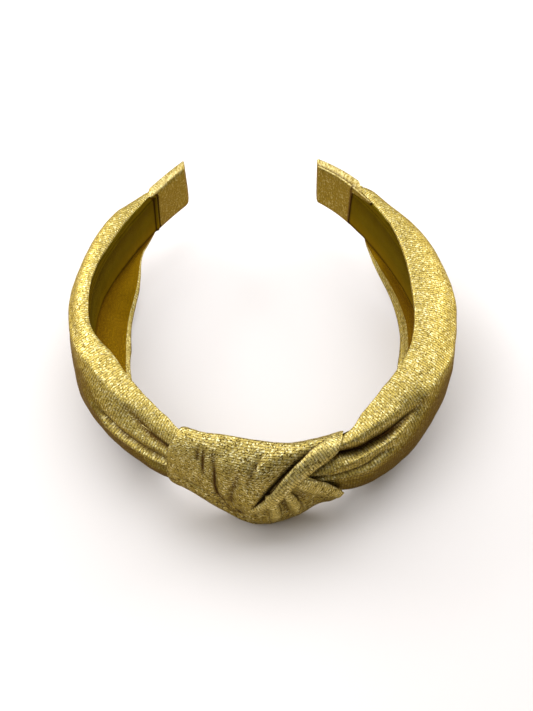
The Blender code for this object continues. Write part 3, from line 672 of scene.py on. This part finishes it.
KNOT_FOLDS = (
    Fold(1.4, -1.8, (
        (23, 0.640), (19, 0.630), (16, 0.617), (13, 0.594), (10, 0.563),
        (7.3, 0.528), (4.3, 0.478), (2, 0.433), (-5, 0.270),
    )),
    Fold(3.4, 0.9, ((12, 0.640), (6, 0.600), (-1, 0.545), (-4.5, 0.430))),
    Fold(1.2, -1.5, (
        (-18.2, 0.580), (-17, 0.528), (-16.4, 0.467), (-16.1, 0.372),
        (-15.2, 0.294), (-13.2, 0.236), (-11.4, 0.212), (-7, 0.236),
    ), 1.0),
    Fold(2.6, 1.3, ((-15, 0.540), (-13.4, 0.440), (-13, 0.350), (-12.2, 0.270))),
    Fold(2.6, 0.9, ((-20.5, 0.520), (-19.3, 0.420), (-17.6, 0.300), (-15, 0.225))),
    Fold(3.6, 1.0, ((-8, 0.600), (-6.5, 0.480), (-6, 0.340), (-6, 0.250))),
    Fold(1.2, -1.3, (
        (-21.3, 0.590), (-20.8, 0.567), (-20.5, 0.517), (-20.1, 0.450), (-19.6, 0.400),
    ), 1.0),
    Fold(1.1, -1.0, ((-22.9, 0.585), (-22.5, 0.540), (-22.1, 0.480)), 0.9),
    Fold(1.5, -1.3, ((-8.2, 0.510), (-9.1, 0.461), (-10.2, 0.395), (-10.9, 0.300), (-11.3, 0.225))),
    Fold(1.6, -0.9, ((-0.5, 0.600), (-1.4, 0.588), (-4.4, 0.509), (-6, 0.420))),
    Fold(1.3, -1.2, (
        (-30, 0.300), (-25, 0.272), (-20, 0.258), (-17.8, 0.240),
        (-14.9, 0.208), (-10, 0.160), (0, 0.140),
    )),
    Fold(2.0, -0.6, ((-12.4, 0.216), (-11, 0.210), (-9.9, 0.214)), 1.0),
    Fold(2.2, -0.6, ((-9.3, 0.228), (-8, 0.236), (-6.7, 0.236)), 1.0),
    Fold(1.0, -1.4, ((2.8, 0.400), (3.9, 0.350), (4.9, 0.306), (6.4, 0.228), (6.8, 0.200))),
    Fold(7.0, -0.9, ((2, 0.330), (12, 0.340), (20, 0.300))),
)
Edge = namedtuple("Edge", "around left right")
KNOT_EDGES = (
    Edge(0.00, -30, 22),
    Edge(0.14, -32, 23),
    Edge(0.24, -33, 24),
    Edge(0.36, -33, 18),
    Edge(0.46, -33, 12),
    Edge(0.52, -33, 19),
    Edge(0.59, -32, 25),
    Edge(0.70, -32, 29),
    Edge(0.86, -31, 27),
    Edge(1.00, -30, 22),
)
KNOT_FACE, UNDER_FACE = (15.0, 34.0), (15.0, 32.8)
KNOT_HALF, SPOTS_PER_MM = 36, 2
KNOT_ROWS, EDGE_ROUND, EDGE_THIN, KNOT_UNEVEN, KNOT_SMALL = 150, 3.2, 0.12, 0.3, 0.12
# On the head side the knot's left edge is drawn in against the sleeve over its last few mm.
DRAWN_OVER, DRAWN_CLEAR, DRAWN_AT = 8.0, 0.05, 32.0
drawn_in = np.interp(around, (0.645, 0.685, 0.89, 0.95), (0, 1, 1, 0))
left_sleeve = sleeve_loop(LEFT_SLEEVE, DRAWN_AT)
left_edge = np.interp(around, [edge.around for edge in KNOT_EDGES], [edge.left for edge in KNOT_EDGES])
right_edge = np.interp(around, [edge.around for edge in KNOT_EDGES], [edge.right for edge in KNOT_EDGES])
spots = np.linspace(-KNOT_HALF, KNOT_HALF, 2 * KNOT_HALF * SPOTS_PER_MM + 1)
skins = np.array([section_loop(blend_rows(KNOT, s), *KNOT_FACE) for s in spots])
unders = np.array([section_loop(blend_rows(KNOT_UNDER, s), *UNDER_FACE) for s in spots])


def at_spot(rows, s):
    """The rows' value at s, where there is one row for each of the knot's spots."""
    spot = (s + KNOT_HALF) * SPOTS_PER_MM
    k = int(min(max(spot, 0), len(spots) - 2))
    return rows[k] + (rows[k + 1] - rows[k]) * (spot - k)


rings, creases = [], []
for share in np.linspace(0, 1, KNOT_ROWS):
    at = left_edge + (right_edge - left_edge) * share
    lift, deep = fold_lift(KNOT_FOLDS, at, around)
    points = []
    for i, s in enumerate(at):
        from_left, from_right = s - left_edge[i], right_edge[i] - s
        skin, under = at_spot(skins[:, i], s), at_spot(unders[:, i], s)
        drawn = drawn_in[i] * max(1 - from_left / DRAWN_OVER, 0.0)
        under = under + (left_sleeve[i] + (skin - left_sleeve[i]) * DRAWN_CLEAR - under) * drawn
        inside = min(max(min(from_left, from_right) / EDGE_ROUND, 0.0), 1.0)
        swell = EDGE_THIN + (1 - EDGE_THIN) * math.sqrt(1 - (1 - inside) ** 2)
        rough = KNOT_UNEVEN * noise.noise(Vector((s * 0.09, i * 0.045, 3.0)))
        rough += KNOT_SMALL * noise.noise(Vector((s * 0.4, i * 0.14, 9.0)))
        wall = np.linalg.norm(skin - under)
        thick = max(wall + lift[i] + rough, CLOTH_THICK)
        a, z = under + (skin - under) * swell * thick / wall
        points.append(place_one(s, a, max(z, ABOVE_TABLE)))
    rings.append(points)
    creases.append(deep)
knot = lay_cloth("knot_knit", rings, True, creases, turned=True)
knot.data.materials.append(gold_rib_knit("gold_rib_knot", 1.0, 0.6, "#806820", "#DCC268"))
thicken(knot)
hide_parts("knot")
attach(knot, "root")


# Roll and pleats of the knot. The last turn of the right sleeve's end is rolled up and drawn down
# across the knot from its top edge to the pinch. Three pleats of the loose end fan out below it,
# each tucked under the roll. All are tapering tubes of the same knit.
Rolled = namedtuple("Rolled", "s around wide high")
KNOT_ROLLS = {
    "knot_pleat_low": (
        Rolled(0.4, 0.400, 1.4, 0.6),
        Rolled(1.4, 0.350, 2.1, 1.6),
        Rolled(2.1, 0.300, 2.4, 2.1),
        Rolled(2.4, 0.260, 2.5, 2.1),
        Rolled(2.3, 0.220, 2.3, 1.5),
        Rolled(2.0, 0.185, 1.6, 0.4),
    ),
    "knot_pleat_middle": (
        Rolled(4.5, 0.440, 1.3, 0.6),
        Rolled(6.0, 0.390, 1.9, 1.7),
        Rolled(7.6, 0.330, 2.3, 2.3),
        Rolled(8.6, 0.275, 2.4, 2.3),
        Rolled(9.0, 0.225, 2.2, 1.6),
        Rolled(9.2, 0.185, 1.5, 0.4),
    ),
    "knot_pleat_high": (
        Rolled(8.0, 0.468, 1.8, 0.8),
        Rolled(11.0, 0.423, 2.7, 1.6),
        Rolled(14.0, 0.373, 3.4, 1.8),
        Rolled(17.0, 0.325, 3.5, 1.6),
        Rolled(20.0, 0.284, 2.9, 1.2),
        Rolled(22.8, 0.248, 1.9, 0.5),
    ),
    "knot_roll": (
        Rolled(26.0, 0.665, 1.8, 0.0),
        Rolled(24.0, 0.650, 2.7, 0.7),
        Rolled(21.3, 0.608, 3.3, 1.3),
        Rolled(17.4, 0.569, 3.5, 1.8),
        Rolled(14.2, 0.545, 3.5, 1.9),
        Rolled(11.1, 0.522, 3.4, 1.9),
        Rolled(8.5, 0.492, 3.3, 1.9),
        Rolled(5.9, 0.449, 3.2, 1.9),
        Rolled(3.6, 0.405, 3.0, 1.8),
        Rolled(0.8, 0.358, 2.7, 1.6),
        Rolled(-1.6, 0.317, 2.3, 1.2),
        Rolled(-4.2, 0.285, 1.7, 0.7),
        Rolled(-6.5, 0.262, 0.8, 0.2),
    ),
}
ROLL_STATIONS, ROLL_POINTS, SUNK = 130, 60, 1.2
EASE, EASE_TIMES, ROLL_UNEVEN = 4, 3, 0.10


def knot_spot(s, share):
    """The knot's place and outward direction at s and a share round its section, in metres."""
    ring, i = at_spot(skins, s), share * SECTION_POINTS
    at = [[np.interp(i + step, range(SECTION_POINTS), ring[:, n]) for n in (0, 1)] for step in (-2, 0, 2)]
    before, here, after = np.array(at)
    along = after - before
    out = here + np.array((along[1], -along[0])) / np.linalg.norm(along)
    here, out = place_one(s, *here), place_one(s, *out)
    return here, out - here


roll_knit = gold_rib_knit("gold_rib_rolled", 0.8, 0.6, "#907628", "#F0D880")
turns = np.linspace(0, 2 * math.pi, ROLL_POINTS, endpoint=False)
across_roll, out_of_roll = np.cos(turns), np.sin(turns)
for name, table in KNOT_ROLLS.items():
    fine = np.linspace(0, len(table) - 1, ROLL_STATIONS)
    stations = np.stack([np.interp(fine, range(len(table)), column) for column in zip(*table)], 1)
    for _ in range(EASE_TIMES):
        eased = sum(np.roll(stations, k, axis=0) for k in range(-EASE, EASE + 1)) / (2 * EASE + 1)
        stations[EASE:-EASE] = eased[EASE:-EASE]
    middles, outs = (np.array(part) for part in zip(*[knot_spot(row[0], row[1]) for row in stations]))
    outs = outs / np.linalg.norm(outs, axis=1)[:, None]
    across = np.cross(np.gradient(middles, axis=0), outs)
    across /= np.linalg.norm(across, axis=1)[:, None]
    # Painted shade where it tucks in against the knot, on its lower side half as much.
    tuck_shade = np.clip(1.1 - out_of_roll * 2.4, 0, 0.95) * np.where(across_roll > 0, 1.0, 0.55)
    rings = []
    for (s, _, wide, high), middle, out, side in zip(stations, middles, outs, across):
        wave = [noise.noise(Vector((math.cos(a) * 1.3, math.sin(a) * 1.3, s * 0.25))) for a in turns]
        reach = 1 + ROLL_UNEVEN * np.array(wave)
        high = np.where(out_of_roll > 0, high, SUNK)
        offset = np.outer(across_roll * wide * reach, side) + np.outer(out_of_roll * high * reach, out)
        rings.append(middle + offset * MM)
    roll = lay_cloth(name, rings, True, [tuck_shade] * ROLL_STATIONS, fill=True)
    roll.data.materials.append(roll_knit)
    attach(roll, "root")


# Table top: a plain pale sheet under the headband, with no backdrop.
mesh = bmesh.new()
bmesh.ops.create_grid(mesh, x_segments=1, y_segments=1, size=1.5)
data = bpy.data.meshes.new("table_top")
mesh.to_mesh(data)
mesh.free()
table_top = bpy.data.objects.new("table_top", data)
bpy.context.scene.collection.objects.link(table_top)
table_paper, tree, shader = new_material("white_table_paper")
shader.inputs["Base Color"].default_value = linear("#D8CEBE")
shader.inputs["Roughness"].default_value = 0.9
table_top.data.materials.append(table_paper)
table_top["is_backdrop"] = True


# Light: one large soft panel overhead and a little behind, with a dim even room, so that the tops
# of the folds shine and the sides fall to olive. Two low panels at the back corners light the
# insides and the rims, and a small one at the front left opens the shadows. All are a little blue.
world = bpy.data.worlds.new("studio")
world.use_nodes = True
world.node_tree.nodes["Background"].inputs["Color"].default_value = (1, 1, 1, 1)
world.node_tree.nodes["Background"].inputs["Strength"].default_value = 0.30
bpy.context.scene.world = world
LAMP_COLOUR, AIM = (0.91, 0.98, 1.18), Vector((0, 0, 0.02))
Panel = namedtuple("Panel", "name place power wide deep")
PANELS = (
    Panel("overhead", (0.0, 0.33, 0.62), 9.8, 1.4, 0.8),
    Panel("back_right", (0.62, 0.42, 0.24), 4.8, 0.6, 0.5),
    Panel("back_left", (-0.62, 0.46, 0.26), 6.4, 0.6, 0.5),
    Panel("front_left", (-0.40, -0.24, 0.50), 1.6, 0.5, 0.4),
)
for panel in PANELS:
    lamp = bpy.data.lights.new(panel.name, "AREA")
    lamp.energy, lamp.shape, lamp.size, lamp.size_y = panel.power, "RECTANGLE", panel.wide, panel.deep
    lamp.color = LAMP_COLOUR
    light = bpy.data.objects.new(panel.name, lamp)
    light.location = panel.place
    light.rotation_euler = (AIM - light.location).to_track_quat("-Z", "Y").to_euler()
    bpy.context.scene.collection.objects.link(light)


# Camera, at the photograph's height and distance. The long lens is set from its pixels.
ELEVATION, AZIMUTH, DISTANCE = math.radians(52), math.radians(-1.3), 0.52
TARGET, CENTRE = Vector((-0.00016, -0.00594, 0.020)), (262.5, 345.0)
FRAME_WIDE, FRAME_HIGH, LENS_PIXELS, SENSOR = 533, 711, 1326, 36
back = Vector(
    (math.sin(AZIMUTH) * math.cos(ELEVATION), -math.cos(AZIMUTH) * math.cos(ELEVATION), math.sin(ELEVATION))
)
camera = bpy.data.objects.new("camera", bpy.data.cameras.new("camera"))
camera.rotation_mode = "QUATERNION"
camera.location = TARGET + back * DISTANCE
camera.rotation_quaternion = (-back).to_track_quat("-Z", "Y")
camera.data.sensor_width, camera.data.sensor_fit = SENSOR, "AUTO"
camera.data.lens = LENS_PIXELS / FRAME_HIGH * SENSOR
camera.data.shift_x = (FRAME_WIDE / 2 - CENTRE[0]) / FRAME_HIGH
camera.data.shift_y = -(FRAME_HIGH / 2 - CENTRE[1]) / FRAME_HIGH
bpy.context.scene.collection.objects.link(camera)
bpy.context.scene.camera = camera

bpy.context.scene.view_settings.view_transform = "Standard"
low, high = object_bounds()
